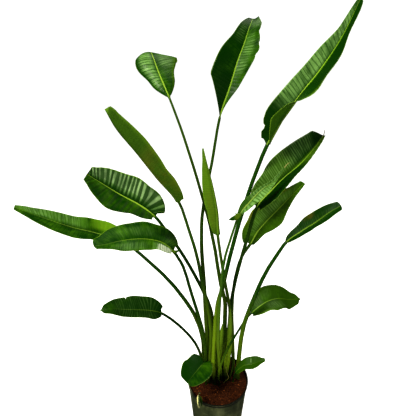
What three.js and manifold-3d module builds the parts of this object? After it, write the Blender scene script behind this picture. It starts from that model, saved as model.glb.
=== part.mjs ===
// Potted bird of paradise: sixteen leaves, a withered one, three rolled shoots and a dry thread stand
// in a nursery pot of soil.
// Millimetres, +Z up. The origin is the middle of the pot's underside, and the viewer stands at -Y.
// The leaves spread in one fan, mostly along X. Each grew as one piece, so each is one closed solid:
// a round stalk that widens, at the blade's foot, into a thin folded blade with a keeled rib.

import * as THREE from "three";
import { mergeVertices } from "three/addons/utils/BufferGeometryUtils.js";
import Module from "manifold-3d";

const wasm = await Module();
wasm.setup();

const GAP = 0.3;

// A 10 inch nursery pot.
const POT_HEIGHT = 235;
const POT_FOOT_RADIUS = 110;
const POT_RIM_RADIUS = 130;
const POT_WALL = 2;
const POT_BAND_HEIGHT = 16;
const POT_BAND_STEP = 3;
const POT_SIDES = 40;
const DRAIN_HOLES = 8;
const DRAIN_HOLE_RADIUS = 7;
const DRAIN_RING_RADIUS = 86;

// Soil, filled to a little under the rim, with its surface in gentle lumps.
const SOIL_TOP = 218;
const SOIL_LUMP = 3;
const SOIL_RINGS = 5;
const BURIED_TO = 165;
const STALK_CLEAR = 1.2;

// Leaf sections.
const SECTION_HALF = 3;
const RIB_HALF_WIDTH = 3.5;
const BLADE_MIDDLE = 0.55;
const BLADE_THICKNESS = 1.2;
const STALK_CUTS = 1;
const FOOT_SPAN = 0.04;
const LEAF_SIDES = 4 * SECTION_HALF + 2;
const STALK_BASE_RADIUS = 9.5;
const STALK_TAPER = 1.1;
const BLADE_ROWS = 13;
const WAVES = 4;
const ROUND_FOOT = 0.5;
const FOOT_RAKE = -35;
const FOOT_SETTLE = 0.04;
const MIDDLE_RAKE = 15;
const TIP_RAKE = 50;
const TIP_KEEL = 0.6;
const SPEAR_SIDES = 10;
const HOLE_SIDES = 8;
const VIEWER = new THREE.Vector3(0, -1, 0);

const GREEN = { deep: 0x1f4a12, mid: 0x2f6416, young: 0x4f7d1c, pale: 0x6f9a55, dry: 0x9a8a4a };

// Leaves. root: where the stalk enters the soil (x, y). stalk: its route up to the blade's foot.
// rib: the route of the blade's middle rib, on to its tip. face: which way the blade's upper side
// looks, at its foot and at its tip. left and right: how far the blade reaches from its rib, at even
// steps from foot to tip, seen from its upper side with the tip up. fold: how far each half is lifted
// towards the upper side, in degrees, at even steps. curl: how much further it bends out to its edge.
// wave: how high its edge waves. rake: how far its side veins lean at the foot, below 0 for back.
// swell: how slowly the blade widens at the foot. radius: of the stalk at the blade, and base: of the
// stalk in the soil.
const LEAVES = [
  {
    name: "leaf_upper_left",
    colour: GREEN.mid,
    root: [20, 38],
    stalk: [[27, 26, 320], [30, 17, 520], [28, 10, 645], [5, 12, 735], [-25, 40, 910], [-75, 80, 1100],
      [-130, 115, 1275], [-170, 140, 1380]],
    rib: [[-204, 185, 1448], [-232, 240, 1506], [-247, 305, 1508], [-257, 350, 1472]],
    face: [[0.2, -1, 0.5], [0, 0.5, 0.9]],
    left: [4, 38, 68, 60, 46, 36, 4],
    right: [4, 46, 86, 106, 96, 56, 4],
    fold: { left: [10, 5, 10, 5, 0], right: [10, 5, 0, -5, -5] },
    curl: [-70, -35],
    swell: 1,
    radius: 4.8,
    base: 9.8,
  },
  {
    name: "leaf_upper_middle",
    colour: GREEN.deep,
    root: [-32, 20],
    stalk: [[-38, 12, 345], [-50, 8, 560], [-56, 8, 720], [-65, 18, 890], [-60, 26, 1025], [-30, 35, 1185],
      [-5, 40, 1335]],
    rib: [[25, 50, 1425], [45, 60, 1490], [65, 80, 1540], [80, 105, 1580], [92, 138, 1601],
      [97, 160, 1598]],
    face: [[0, -1, 0.25], [-0.1, -0.5, 0.85]],
    left: [2, 72, 62, 43, 33, 20, 3],
    right: [2, 28, 58, 50, 36, 22, 3],
    fold: { left: [25, 15, 10, 0], right: [20, 25, 25, 10] },
    curl: [0, 10],
    wave: [0, 6],
    rake: 5,
    swell: 1.2,
    radius: 5,
    base: 11.5,
  },
  {
    name: "leaf_upper_right",
    colour: GREEN.mid,
    root: [-14, -14],
    stalk: [[-20, -26, 305], [-16, -34, 485], [-8, -38, 660], [12, -37, 755], [40, -26, 900],
      [90, -12, 1107], [140, -14, 1267]],
    rib: [[180, -30, 1350], [215, -40, 1410], [255, -60, 1475], [290, -85, 1550], [312, -115, 1632]],
    face: [[-0.6, -0.8, 0.3], [-0.5, -0.8, 0.4]],
    left: [4, 38, 48, 42, 38, 22, 3],
    right: [6, 48, 68, 62, 44, 32, 3],
    fold: { left: [10, 15, 15, 10], right: [30, 112, 60, 45, 40, 40, 40] },
    curl: [10, -10],
    wave: [2, 3],
    radius: 6,
    base: 10.8,
  },
  {
    name: "leaf_left_folded",
    colour: GREEN.young,
    root: [-34, -4],
    stalk: [[-32, -8, 365], [-30, -12, 530], [-48, -14, 670], [-62, -16, 745], [-80, -24, 870],
      [-105, -36, 980], [-135, -50, 1090]],
    rib: [[-195, -55, 1170], [-250, -60, 1250], [-300, -65, 1320], [-325, -70, 1375]],
    face: [[0.8, 0, 0.6], [0.8, 0, 0.6]],
    left: [8, 46, 54, 56, 54, 44, 6],
    right: [8, 44, 52, 54, 50, 40, 6],
    fold: { left: [65, 72, 74, 74], right: [65, 72, 74, 74] },
    curl: [0, 0],
    radius: 5,
    base: 10.8,
  },
  {
    name: "leaf_left_ribbed",
    colour: GREEN.mid,
    root: [0, 46],
    stalk: [[-8, 38, 350], [-18, 28, 480], [-32, 26, 590], [-52, 28, 655], [-88, 26, 745], [-127, 20, 835],
      [-175, 5, 935], [-220, -20, 1025]],
    rib: [[-265, -30, 1070], [-320, -40, 1110], [-370, -55, 1155], [-402, -70, 1187]],
    face: [[0.1, -0.9, 0.45], [0.1, -0.9, 0.45]],
    left: [8, 34, 50, 60, 48, 30, 6],
    right: [12, 70, 80, 70, 58, 38, 6],
    fold: { left: [10, 10, 10, 5], right: [20, 20, 15, 10] },
    curl: [0, 0],
    rake: -45,
    radius: 5.2,
  },
  {
    name: "leaf_far_left",
    colour: GREEN.mid,
    root: [-64, 30],
    stalk: [[-60, 14, 340], [-64, 4, 465], [-92, 4, 575], [-135, 12, 655], [-190, 20, 735], [-260, 20, 820],
      [-335, 10, 905]],
    rib: [[-430, -10, 955], [-490, -30, 985], [-575, -60, 1040], [-635, -85, 1085]],
    face: [[0.3, -0.2, 0.95], [0.3, -0.15, 0.95]],
    left: [8, 36, 50, 52, 46, 30, 4],
    right: [14, 52, 50, 44, 38, 28, 4],
    fold: { left: [5, 5, 5, 5], right: [30, 25, 20, 10] },
    curl: [0, 0],
    radius: 5.6,
    base: 11,
  },
  {
    name: "leaf_left_drooping",
    colour: GREEN.mid,
    root: [-52, 12],
    stalk: [[-50, 0, 300], [-52, -14, 400], [-62, -28, 525], [-80, -38, 625], [-105, -55, 750],
      [-125, -80, 865], [-155, -100, 940]],
    rib: [[-185, -110, 975], [-220, -125, 995], [-260, -145, 1008], [-300, -165, 1013], [-330, -190, 1018],
      [-360, -215, 1025]],
    face: [[0, -0.5, 0.9], [-0.1, -0.5, 0.9]],
    left: [4, 32, 46, 48, 42, 26, 4],
    right: [10, 50, 60, 56, 52, 38, 4],
    fold: { left: [10, 10, 10, 10], right: [25, 20, 15, 10] },
    curl: [0, -15],
    radius: 4.8,
  },
  {
    name: "leaf_young_upright",
    colour: GREEN.young,
    root: [2, 26],
    stalk: [[14, 8, 320], [30, 0, 420], [42, 0, 500], [46, -4, 615], [24, -18, 750], [6, -20, 845],
      [-10, -30, 960]],
    rib: [[-15, -35, 1050], [-30, -40, 1140], [-45, -40, 1205], [-56, -40, 1257]],
    face: [[-1, 0, 0.1], [-1, 0, 0.1]],
    left: [5, 28, 34, 30, 20, 11, 2],
    right: [5, 28, 36, 32, 22, 13, 2],
    fold: { left: [70, 70, 70, 60], right: [70, 70, 70, 60] },
    curl: [0, 0],
    radius: 4.6,
    base: 7,
  },
  {
    name: "leaf_young_narrow",
    colour: GREEN.pale,
    root: [14, 6],
    stalk: [[6, -40, 350], [-4, -57, 480], [-4, -60, 625], [2, -58, 750], [12, -60, 870], [30, -70, 960],
      [55, -80, 1055]],
    rib: [[90, -85, 1110], [120, -85, 1145], [150, -80, 1165], [185, -70, 1210]],
    face: [[-0.3, -0.9, 0.4], [-0.3, -0.9, 0.4]],
    left: [14, 18, 14, 10, 10, 8, 1],
    right: [4, 16, 26, 24, 14, 8, 1],
    fold: { left: [10, 25, 30, 30], right: [10, 25, 30, 30] },
    curl: [0, 0],
    rake: -60,
    radius: 3.6,
    base: 6.5,
  },
  {
    name: "leaf_right_broad",
    colour: GREEN.deep,
    root: [44, 22],
    stalk: [[45, 17, 285], [46, 14, 420], [47, 14, 615], [60, -8, 765], [90, -40, 955], [115, -52, 1075]],
    rib: [[155, -40, 1120], [195, -20, 1155], [250, 5, 1195], [295, 35, 1235], [330, 65, 1270]],
    face: [[-0.35, -0.8, 0.5], [-0.35, -0.8, 0.5]],
    left: [12, 54, 70, 76, 68, 50, 6],
    right: [10, 54, 56, 42, 34, 26, 4],
    fold: { left: [10, 10, 5, 5], right: [40, 50, 55, 50] },
    curl: [0, 0],
    radius: 5.4,
  },
  {
    name: "leaf_right_pointed",
    colour: GREEN.mid,
    root: [62, 36],
    stalk: [[67, 37, 265], [62, 37, 405], [53, 35, 600], [60, 14, 750], [78, -4, 855], [105, -15, 915]],
    rib: [[125, -20, 965], [150, -25, 1005], [180, -35, 1050], [215, -50, 1105], [250, -60, 1155]],
    face: [[-0.1, -0.95, 0.3], [-0.1, -0.95, 0.3]],
    left: [10, 50, 64, 62, 54, 32, 3],
    right: [6, 22, 36, 42, 26, 14, 3],
    fold: { left: [15, 15, 15, 15], right: [15, 20, 20, 15] },
    curl: [0, 0],
    radius: 5.2,
  },
  {
    name: "leaf_far_right",
    colour: GREEN.mid,
    root: [86, 14],
    stalk: [[86, 2, 300], [86, -15, 405], [93, -38, 560], [121, -52, 700], [155, -58, 820], [190, -62, 902],
      [215, -66, 952]],
    rib: [[260, -70, 995], [295, -80, 1030], [330, -90, 1070], [360, -95, 1095]],
    face: [[-0.4, -0.5, 0.8], [-0.4, -0.5, 0.8]],
    left: [4, 20, 32, 32, 26, 16, 3],
    right: [4, 18, 20, 20, 22, 18, 3],
    fold: { left: [20, 20, 20, 20], right: [20, 20, 20, 20] },
    curl: [0, 0],
    rake: 0,
    radius: 5.4,
    base: 12,
  },
  {
    name: "leaf_low_left",
    colour: GREEN.deep,
    root: [-73, 8],
    stalk: [[-72, -6, 320], [-80, -16, 400], [-104, -30, 485], [-160, -60, 600], [-210, -85, 670]],
    rib: [[-250, -100, 695], [-290, -120, 715], [-330, -135, 730], [-360, -150, 745], [-395, -165, 752]],
    face: [[0, -0.3, 1], [0, -0.3, 1]],
    left: [6, 38, 42, 42, 38, 26, 4],
    right: [8, 50, 54, 46, 36, 24, 4],
    fold: { left: [20, 20, 20, 20], right: [15, 15, 15, 10] },
    curl: [0, 0],
    radius: 4.8,
    base: 7,
  },
  {
    name: "leaf_low_right",
    colour: GREEN.deep,
    root: [6, -22],
    stalk: [[2, -46, 310], [9, -56, 375], [36, -52, 465], [74, -31, 530], [105, -8, 570], [127, -6, 600]],
    rib: [[164, 2, 632], [188, 10, 643], [228, 20, 648], [272, 30, 635], [326, 42, 628]],
    face: [[0, -0.3, 1], [0, -0.3, 1]],
    left: [8, 36, 60, 58, 46, 32, 4],
    right: [5, 34, 50, 46, 42, 26, 4],
    fold: { left: [20, 15, 10, 10], right: [15, 10, 5, 0] },
    curl: [0, -10],
    wave: [0, 3],
    radius: 3.8,
    base: 6,
  },
  {
    name: "leaf_rim_left",
    colour: GREEN.mid,
    root: [-50, -18],
    stalk: [[-52, -30, 262], [-50, -32, 335], [-49, -40, 376], [-60, -54, 386]],
    rib: [[-84, -82, 380], [-104, -104, 370], [-122, -124, 359]],
    face: [[0.1, -0.85, 0.5], [0, -0.85, 0.5]],
    left: [5, 54, 50, 44, 36, 24, 6],
    right: [5, 58, 66, 60, 48, 30, 6],
    fold: { left: [15, 10, 5, 0], right: [15, 10, 5, 0] },
    curl: [0, -10],
    rake: -42,
    radius: 3,
    base: 6,
  },
  {
    name: "leaf_rim_right",
    colour: GREEN.mid,
    root: [66, -7],
    stalk: [[68, -14, 250], [73, -28, 301]],
    rib: [[106, -34, 349], [138, -40, 365], [162, -44, 382], [186, -48, 397]],
    face: [[-0.4, -0.4, 0.8], [-0.4, -0.4, 0.8]],
    left: [4, 20, 29, 26, 20, 12, 3],
    right: [4, 14, 15, 15, 13, 9, 3],
    fold: { left: [20, 15, 10, 10], right: [15, 10, 10, 10] },
    curl: [0, 0],
    rake: 0,
    radius: 2.5,
    base: 5,
  },
  {
    name: "leaf_withered",
    colour: GREEN.dry,
    root: [-76, -60],
    stalk: [[-79, -76, 236], [-81, -94, 250]],
    rib: [[-84, -112, 264], [-84, -126, 262], [-82, -134, 250], [-78, -136, 232]],
    face: [[1, -0.4, 0], [1, -0.4, 0]],
    left: [3, 6, 8, 8, 6, 4, 1],
    right: [3, 8, 13, 14, 10, 5, 1],
    fold: { left: [50, 50, 50, 40], right: [50, 50, 50, 40] },
    curl: [0, 0],
    rake: 0,
    radius: 1.5,
    base: 2,
  },
];

// Rolled new leaves that are still a pointed spear, and a bent dry thread: round all the way.
const SPEARS = [
  {
    name: "spear_middle",
    colour: GREEN.young,
    root: [-4, 4],
    stalk: [[-2, -8, 330], [4, -22, 450], [8, -28, 530], [10, -30, 567]],
    radii: [8, 8, 7.5, 5, 0.8],
  },
  {
    name: "spear_tall",
    colour: GREEN.young,
    root: [32, 2],
    stalk: [[34, -6, 300], [43, -18, 428], [43, -25, 560], [43, -27, 610], [43, -28, 640]],
    radii: [10, 11.5, 12, 10, 5, 0.8],
  },
  {
    name: "spear_short",
    colour: GREEN.young,
    root: [50, 2],
    stalk: [[60, 6, 281], [67, 8, 335], [70, 9, 372]],
    radii: [4.5, 4.5, 3, 0.8],
  },
  {
    name: "thread_dry",
    colour: GREEN.dry,
    root: [24, -14],
    stalk: [[36, -15, 240], [45, -16, 251], [38, -22, 290], [30, -28, 335]],
    radii: [1.3, 1.3, 1.2, 1.1, 0.8],
  },
];

// A value between even steps of a list, at share 0 to 1.
function between(list, share) {
  const place = share * (list.length - 1);
  const index = Math.min(Math.floor(place), list.length - 2);
  return THREE.MathUtils.lerp(list[index], list[index + 1], place - index);
}

// A blade's reach. It swells in its first step, the quicker the lower swell is, and closes roundly.
function reachAt(list, share, swell = ROUND_FOOT) {
  const place = share * (list.length - 1);
  const last = list.length - 2;
  if (place < 1) {
    return THREE.MathUtils.lerp(list[0], list[1], place ** swell);
  }
  if (place > last) {
    return THREE.MathUtils.lerp(list[last + 1], list[last], Math.sqrt(last + 1 - place));
  }
  return between(list, share);
}

function radians(degrees) {
  return THREE.MathUtils.degToRad(degrees);
}

// The axes of a section: along the route, towards the upper side, and to the right.
function axes(along, face) {
  const up = face.clone().addScaledVector(along, -face.dot(along)).normalize();
  const side = new THREE.Vector3().crossVectors(along, up);
  return { along, up, side };
}

// Joins rings of equal point counts into one closed body, with a point in the middle of each end.
// The second half of each ring is split the other way, so that a blade's two faces are split alike.
function skin(rings) {
  const count = rings[0].length;
  const middleOf = (ring) => ring.reduce((sum, p) => sum.add(p), new THREE.Vector3())
    .divideScalar(count);
  const points = [middleOf(rings[0]), ...rings.flat(), middleOf(rings.at(-1))];
  const end = points.length - 1;
  const faces = [];
  for (let i = 0; i < count; i++) {
    const next = (i + 1) % count;
    faces.push(0, 1 + next, 1 + i);
    faces.push(end, end - count + i, end - count + next);
    for (let r = 0; r < rings.length - 1; r++) {
      const a = 1 + r * count + i;
      const b = 1 + r * count + next;
      if (i < count / 2) {
        faces.push(a, b, a + count, b, b + count, a + count);
      } else {
        faces.push(a, b, b + count, a, b + count, a + count);
      }
    }
  }
  const flat = points.flatMap((p) => p.toArray());
  const geometry = new THREE.BufferGeometry();
  geometry.setAttribute("position", new THREE.Float32BufferAttribute(flat, 3));
  geometry.setIndex(faces);
  return geometry;
}

// A round section, from the left over the upper side to the right, then back below.
function roundRing({ centre, frame, radius }, sides) {
  return Array.from({ length: sides }, (_, k) => {
    const angle = Math.PI - (2 * Math.PI * (k + 0.5)) / sides;
    return centre.clone()
      .addScaledVector(frame.side, radius * Math.cos(angle))
      .addScaledVector(frame.up, radius * Math.sin(angle));
  });
}

// How far the side veins lean towards the tip, in degrees: not at the foot itself, then as the leaf
// says, and ever more towards the tip.
function rakeAt(leaf, share) {
  const start = THREE.MathUtils.smoothstep(share, 0, FOOT_SETTLE);
  const settle = THREE.MathUtils.smoothstep(share, FOOT_SETTLE, 0.25);
  const lift = THREE.MathUtils.smoothstep(share, 0.5, 1);
  const foot = leaf.rake ?? FOOT_RAKE;
  return start * THREE.MathUtils.lerp(foot, MIDDLE_RAKE, settle) + (TIP_RAKE - MIDDLE_RAKE) * lift;
}

// The blade's section: its upper face from left edge to right edge, then its lower face back. left is
// the length of rib from here to the tip, which no part of the section passes.
function bladeRing(centre, frame, leaf, share, keel, left) {
  const above = [];
  const below = [];
  for (let k = -SECTION_HALF; k <= SECTION_HALF; k++) {
    const hand = Math.sign(k);
    const half = k < 0 ? 0 : 1;
    const reach = reachAt(half ? leaf.right : leaf.left, share, leaf.swell);
    const rake = Math.min(radians(rakeAt(leaf, share)), Math.asin(Math.min(1, (0.8 * left) / reach)));
    const ribWidth = Math.min(RIB_HALF_WIDTH, 0.4 * reach);
    const out = [0, ribWidth / reach, BLADE_MIDDLE, 1][Math.abs(k)];
    const fold = between(half ? leaf.fold.right : leaf.fold.left, share);
    const lean = radians(fold + 0.5 * leaf.curl[half] * out);
    const slope = radians(fold + leaf.curl[half] * out);
    const ripple = (leaf.wave?.[half] ?? 0) * out * out * Math.sin(WAVES * 2 * Math.PI * share);
    const normal = frame.up.clone();
    if (k !== 0) {
      normal.multiplyScalar(Math.cos(slope)).addScaledVector(frame.side, -hand * Math.sin(slope));
    }
    const middle = centre.clone()
      .addScaledVector(frame.along, reach * out * Math.sin(rake))
      .addScaledVector(frame.side, hand * reach * out * Math.cos(rake) * Math.cos(lean))
      .addScaledVector(frame.up, reach * out * Math.cos(rake) * Math.sin(lean))
      .addScaledVector(normal, ripple);
    above.push(middle.clone().addScaledVector(normal, BLADE_THICKNESS / 2));
    below.unshift(middle.addScaledVector(normal, -(BLADE_THICKNESS / 2 + (k === 0 ? keel : 0))));
  }
  return [...above, ...below];
}

// The route of a stalk from its buried end, and on along any rib.
function route(root, ...stretches) {
  const points = [[...root, BURIED_TO], [...root, SOIL_TOP], ...stretches.flat()];
  return new THREE.CatmullRomCurve3(points.map((p) => new THREE.Vector3(...p)), false, "centripetal");
}

// Even cuts through a round stalk or spear, each with its centre, axes and radius.
function cuts(curve, end, steps, face, radiusAt) {
  return Array.from({ length: steps }, (_, i) => {
    const share = i / (steps - 1);
    const at = end * share;
    return { centre: curve.getPoint(at), frame: axes(curve.getTangent(at), face), radius: radiusAt(share) };
  });
}

// The stalk of a leaf, thicker towards the soil, up to just under the blade's foot.
function stalkCuts(leaf) {
  const curve = route(leaf.root, leaf.stalk, leaf.rib);
  const spans = leaf.stalk.length + 1;
  const base = leaf.base ?? STALK_BASE_RADIUS;
  const end = (spans - FOOT_SPAN) / (curve.points.length - 1);
  return cuts(curve, end, Math.round(spans * STALK_CUTS) + 2, new THREE.Vector3(...leaf.face[0]),
    (share) => THREE.MathUtils.lerp(leaf.radius, base, (1 - share) ** STALK_TAPER));
}

function spearCuts(spear) {
  return cuts(route(spear.root, spear.stalk), 1, 2 * spear.stalk.length + 2, VIEWER,
    (share) => between(spear.radii, share));
}

// Blade rows lie closer together towards the foot and the tip, where the outline turns.
function rowShare(row) {
  const even = row / (BLADE_ROWS - 1);
  return THREE.MathUtils.lerp(even, THREE.MathUtils.smoothstep(even, 0, 1), 0.6);
}

// The length of a curve up to a share of its spans.
function lengthTo(curve, share) {
  const points = Array.from({ length: 65 }, (_, i) => curve.getPoint((share * i) / 64));
  return points.slice(1).reduce((sum, p, i) => sum + p.distanceTo(points[i]), 0);
}

function leafGeometry(leaf) {
  const curve = route(leaf.root, leaf.stalk, leaf.rib);
  const foot = (leaf.stalk.length + 1) / (curve.points.length - 1);
  const [footFace, tipFace] = leaf.face.map((f) => new THREE.Vector3(...f));
  const ribLength = curve.getLength() - lengthTo(curve, foot);
  const rings = stalkCuts(leaf).map((cut) => roundRing(cut, LEAF_SIDES));
  for (let i = 0; i < BLADE_ROWS; i++) {
    const share = rowShare(i);
    const at = THREE.MathUtils.lerp(foot, 1, share);
    const frame = axes(curve.getTangent(at), footFace.clone().lerp(tipFace, share));
    const keel = THREE.MathUtils.lerp(2 * leaf.radius - BLADE_THICKNESS, TIP_KEEL, Math.sqrt(share));
    rings.push(bladeRing(curve.getPoint(at), frame, leaf, share, keel, ribLength * (1 - share)));
  }
  return skin(rings);
}

function solid(geometry) {
  const plain = new THREE.BufferGeometry();
  plain.setAttribute("position", geometry.getAttribute("position"));
  plain.setIndex(geometry.index);
  const merged = mergeVertices(plain, 1e-3);
  return new wasm.Manifold(new wasm.Mesh({
    numProp: 3,
    vertProperties: new Float32Array(merged.getAttribute("position").array),
    triVerts: new Uint32Array(merged.index.array),
  }));
}

function fromSolid(body) {
  const { vertProperties, triVerts } = body.getMesh();
  const geometry = new THREE.BufferGeometry();
  geometry.setAttribute("position", new THREE.BufferAttribute(vertProperties, 3));
  geometry.setIndex(new THREE.BufferAttribute(triVerts, 1));
  geometry.computeVertexNormals();
  return geometry;
}

// The pot's outer radius at a height, under its rim band.
function potRadius(height) {
  return THREE.MathUtils.lerp(POT_FOOT_RADIUS, POT_RIM_RADIUS - POT_BAND_STEP, height / POT_HEIGHT);
}

function lathe(profile, sides) {
  const geometry = new THREE.LatheGeometry(profile.map(([r, z]) => new THREE.Vector2(r, z)), sides);
  geometry.rotateX(Math.PI / 2);
  return geometry;
}

// The pot: a tapered wall on a flat floor, a stepped band at the rim, and drain holes round the floor.
function potGeometry() {
  const bandFoot = POT_HEIGHT - POT_BAND_HEIGHT;
  const wall = lathe([
    [0, 0],
    [POT_FOOT_RADIUS - 3, 0],
    [POT_FOOT_RADIUS, 3],
    [potRadius(bandFoot), bandFoot],
    [POT_RIM_RADIUS - 1, bandFoot + 1],
    [POT_RIM_RADIUS, POT_HEIGHT - 2],
    [POT_RIM_RADIUS - 1, POT_HEIGHT],
    [POT_RIM_RADIUS - POT_BAND_STEP - POT_WALL + 1, POT_HEIGHT],
    [potRadius(POT_HEIGHT) - POT_WALL, POT_HEIGHT - 1],
    [potRadius(POT_WALL) - POT_WALL, POT_WALL],
    [0, POT_WALL],
  ], POT_SIDES);
  let body = solid(wall);
  const drill = new THREE.CylinderGeometry(DRAIN_HOLE_RADIUS, DRAIN_HOLE_RADIUS, 4 * POT_WALL, 10);
  drill.rotateX(Math.PI / 2);
  for (let i = 0; i < DRAIN_HOLES; i++) {
    const angle = (2 * Math.PI * (i + 0.5)) / DRAIN_HOLES;
    const hole = drill.clone();
    hole.translate(DRAIN_RING_RADIUS * Math.cos(angle), DRAIN_RING_RADIUS * Math.sin(angle), 0);
    body = body.subtract(solid(hole));
  }
  return fromSolid(body);
}

// The soil: a plug that fills the pot, lumpy on top, with a plain hole for each stalk.
function soilGeometry(holes) {
  const clear = POT_WALL + GAP;
  const edge = potRadius(SOIL_TOP) - clear;
  const profile = [[0, clear], [potRadius(clear) - clear, clear]];
  for (let i = SOIL_RINGS; i >= 0; i--) {
    profile.push([edge * (i / SOIL_RINGS), SOIL_TOP]);
  }
  const plug = lathe(profile, POT_SIDES);
  const position = plug.getAttribute("position");
  for (let i = 0; i < position.count; i++) {
    const [x, y, z] = [position.getX(i), position.getY(i), position.getZ(i)];
    if (z > SOIL_TOP - 1) {
      const inside = 1 - (Math.hypot(x, y) / edge) ** 4;
      const lump = Math.sin(x / 13 + 1) * Math.cos(y / 17) + 0.5;
      position.setZ(i, z + inside * SOIL_LUMP * lump);
    }
  }
  return fromSolid(holes.reduce((body, hole) => body.subtract(solid(hole)), solid(plug)));
}

// A hole follows its stalk, all round it, from just under the buried end to above the soil.
function holeGeometry(stalk) {
  const above = stalk.findIndex(({ centre }) => centre.z > SOIL_TOP + 4 * SOIL_LUMP);
  const flat = Math.cos(Math.PI / HOLE_SIDES);
  const grown = stalk.slice(0, above + 1).map((cut) => {
    return { ...cut, radius: (cut.radius + STALK_CLEAR) / flat };
  });
  const [buried] = grown;
  grown[0] = { ...buried, centre: buried.centre.clone().addScaledVector(buried.frame.along, -GAP) };
  return skin(grown.map((cut) => roundRing(cut, HOLE_SIDES)));
}

const plant = new THREE.Group();

function add(name, geometry, colour, roughness) {
  const material = new THREE.MeshStandardMaterial({ color: colour, roughness, metalness: 0 });
  const mesh = new THREE.Mesh(geometry, material);
  mesh.name = name;
  plant.add(mesh);
}

const holes = [];
for (const leaf of LEAVES) {
  add(leaf.name, leafGeometry(leaf), leaf.colour, 0.4);
  holes.push(holeGeometry(stalkCuts(leaf)));
}
for (const spear of SPEARS) {
  const stalk = spearCuts(spear);
  add(spear.name, skin(stalk.map((cut) => roundRing(cut, SPEAR_SIDES))), spear.colour, 0.5);
  holes.push(holeGeometry(stalk));
}
add("soil", soilGeometry(holes), 0x3a2014, 0.95);
add("pot", potGeometry(), 0x2f3a2c, 0.55);

export default plant;
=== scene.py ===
# Potted bird of paradise: leaves, shoots, soil and nursery pot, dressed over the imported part.
import functools
import math
import random

import bpy
import numpy as np
from mathutils import Matrix, Vector, noise


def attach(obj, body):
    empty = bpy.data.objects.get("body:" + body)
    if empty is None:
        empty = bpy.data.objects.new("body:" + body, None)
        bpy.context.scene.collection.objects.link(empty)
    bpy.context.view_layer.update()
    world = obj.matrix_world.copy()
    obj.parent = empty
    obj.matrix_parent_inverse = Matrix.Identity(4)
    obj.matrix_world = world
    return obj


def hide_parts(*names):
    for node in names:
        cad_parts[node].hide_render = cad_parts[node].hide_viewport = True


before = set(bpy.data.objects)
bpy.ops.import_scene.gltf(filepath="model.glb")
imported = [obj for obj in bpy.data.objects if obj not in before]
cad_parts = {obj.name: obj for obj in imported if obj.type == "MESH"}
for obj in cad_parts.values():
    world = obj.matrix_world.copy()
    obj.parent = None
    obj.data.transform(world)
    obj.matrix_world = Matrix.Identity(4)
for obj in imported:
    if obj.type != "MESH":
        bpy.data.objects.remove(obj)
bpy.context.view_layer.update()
bpy.ops.object.select_all(action="DESELECT")

MM = 0.001

# Pot and soil, in metres.
POT_HEIGHT = 0.235
POT_FOOT_RADIUS = 0.110
POT_RIM_RADIUS = 0.130
POT_WALL = 0.002
POT_BAND_HEIGHT = 0.016
POT_BAND_STEP = 0.003
POT_SIDES = 144
DRAIN_HOLES = 8
DRAIN_HOLE_RADIUS = 0.007
DRAIN_RING_RADIUS = 0.086
SOIL_TOP = 0.218
SOIL_CLEAR = 0.0004
SOIL_SIDES = 220
SOIL_RINGS = 84
CRUMBS = 700
CRUMBS_WITHIN = 0.118

# Leaf sizes are in millimetres and angles in degrees. GROOVE_WIDTH is in radians.
# Rows along each piece, and points round it or from a blade's rib to its edge.
STALK_ROWS = 34
BLADE_ROWS = 120
HALF_POINTS = 13
RIB_POINTS = 3
SECTION_POINTS = 2 * (2 * HALF_POINTS + 1)
SHOOT_ROWS, SHOOT_POINTS = 60, 28
SCRAP_ROWS, SCRAP_POINTS = 20, 14
RIB_SAMPLES = 200
# Half of a unit tube's radius and length, which tells its wall from its ends.
TUBE_HALF = 0.5

# Stalks: buried end, radius at the soil, how fast they thin, the channel above, and the share of a span of
# their route in which they open into the blade.
BURIED_TO = 165
STALK_BASE_RADIUS = 9.5
STALK_TAPER = 1.1
STALK_GROOVE = 0.22
GROOVE_WIDTH = 0.5
FOOT_SPAN = 0.04

# Blades: rib, keel under it, rake of the side veins from foot to tip, edge waves and pleats.
RIB_HALF_WIDTH = 3.2
BLADE_THICKNESS = 1.0
TIP_KEEL = 0.6
RIB_RIDGE = 0.9
FOOT_RAKE = -35
MIDDLE_RAKE = 15
TIP_RAKE = 50
FOOT_SETTLE = 0.04
TIP_LEAN = 0.8
ROUND_FOOT = 0.5
WAVES = 4
RIPPLES, RIPPLE_HEIGHT = 9, 1.6
PLEATS = (20, 0.25)

# Rolled shoots: the lap of the outer leaf that winds up them.
LAP_HEIGHT = 0.07
LAP_START = 0.3
LAP_TURNS = 0.5
LAP_WIDTH = 0.1

# A leaf's map keeps how far the blade reaches at a point, in units of 100 mm, and 10 mm on a stalk.
REACH_UNIT = 100.0
STALK_REACH = 0.1

# Light and camera, in metres and watts.
SUNNY = (1, 0.96, 0.84)
SURROUND_LIGHT = 0.19
SURROUND_MIRRORED = 0.05
SURROUND_SEEN = 1.0
CAMERA_PLACE = (-0.042, -1.046, 1.531)
CAMERA_TILT = 65
CAMERA_LENS = 30
CAMERA_SENSOR = 36

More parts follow.
